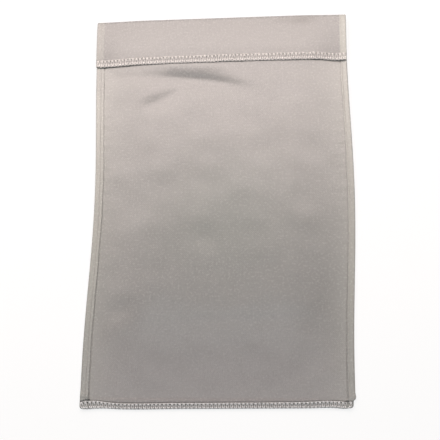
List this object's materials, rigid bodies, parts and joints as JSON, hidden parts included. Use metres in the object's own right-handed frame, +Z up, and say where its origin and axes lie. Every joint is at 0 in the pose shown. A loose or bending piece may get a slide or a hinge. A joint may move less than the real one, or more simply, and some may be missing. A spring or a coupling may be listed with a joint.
{
  "type": "envelope bag",
  "caption": "Flat rectangular envelope bag of coated glass cloth with a fold-over flap that closes the mouth, for storing battery packs.",
  "frame": {"origin": "under the middle of the whole bag, on the surface that it lies on", "axes": "+X across the bag, +Y from the bottom seam to the top fold, +Z up out of the front panel"},
  "size_m": [0.2036, 0.3082, 0.0088],
  "materials": {
    "glass_cloth": "silver-grey plain-woven glass cloth with a thin satin silicone coating",
    "sewing_thread": "off-white glass sewing thread, slightly glossy",
    "hook_tape": "black nylon hook tape on a woven ground",
    "loop_tape": "black nylon loop tape, soft brushed pile on a woven ground"
  },
  "bodies": {
    "bag": {"back_panel": "glass_cloth", "front_panel": "glass_cloth", "left_side_hem": "glass_cloth", "right_side_hem": "glass_cloth", "left_hem_needle_thread": "sewing_thread", "right_hem_needle_thread": "sewing_thread", "left_hem_bobbin_thread": "sewing_thread", "right_hem_bobbin_thread": "sewing_thread", "bottom_overlock_needle_thread": "sewing_thread", "bottom_overlock_upper_looper": "sewing_thread", "bottom_overlock_lower_looper": "sewing_thread", "mouth_overlock_needle_thread": "sewing_thread", "mouth_overlock_upper_looper": "sewing_thread", "mouth_overlock_lower_looper": "sewing_thread", "hook_tape": "hook_tape", "hook_tape_needle_thread": "sewing_thread", "hook_tape_bobbin_thread": "sewing_thread"},
    "fold": {"top_fold_strip": "glass_cloth"},
    "flap": {"closing_flap": "glass_cloth", "flap_left_hem": "glass_cloth", "flap_right_hem": "glass_cloth", "flap_left_hem_thread": "sewing_thread", "flap_right_hem_thread": "sewing_thread", "flap_overlock_needle_thread": "sewing_thread", "flap_overlock_upper_looper": "sewing_thread", "flap_overlock_lower_looper": "sewing_thread", "loop_tape": "loop_tape"}
  },
  "joints": [
    {"name": "fold_hinge", "type": "hinge", "parent": "bag", "child": "fold", "pos_m": [0, 0.1535, 0.0006], "axis": [-1, 0, 0], "range_deg": [0, 90]},
    {"name": "flap_hinge", "type": "hinge", "parent": "fold", "child": "flap", "pos_m": [0, 0.1535, 0.008], "axis": [-1, 0, 0], "range_deg": [0, 90]}
  ],
  "couplings": [
    {"joint": "fold_hinge", "follows": "flap_hinge", "ratio": 1}
  ]
}
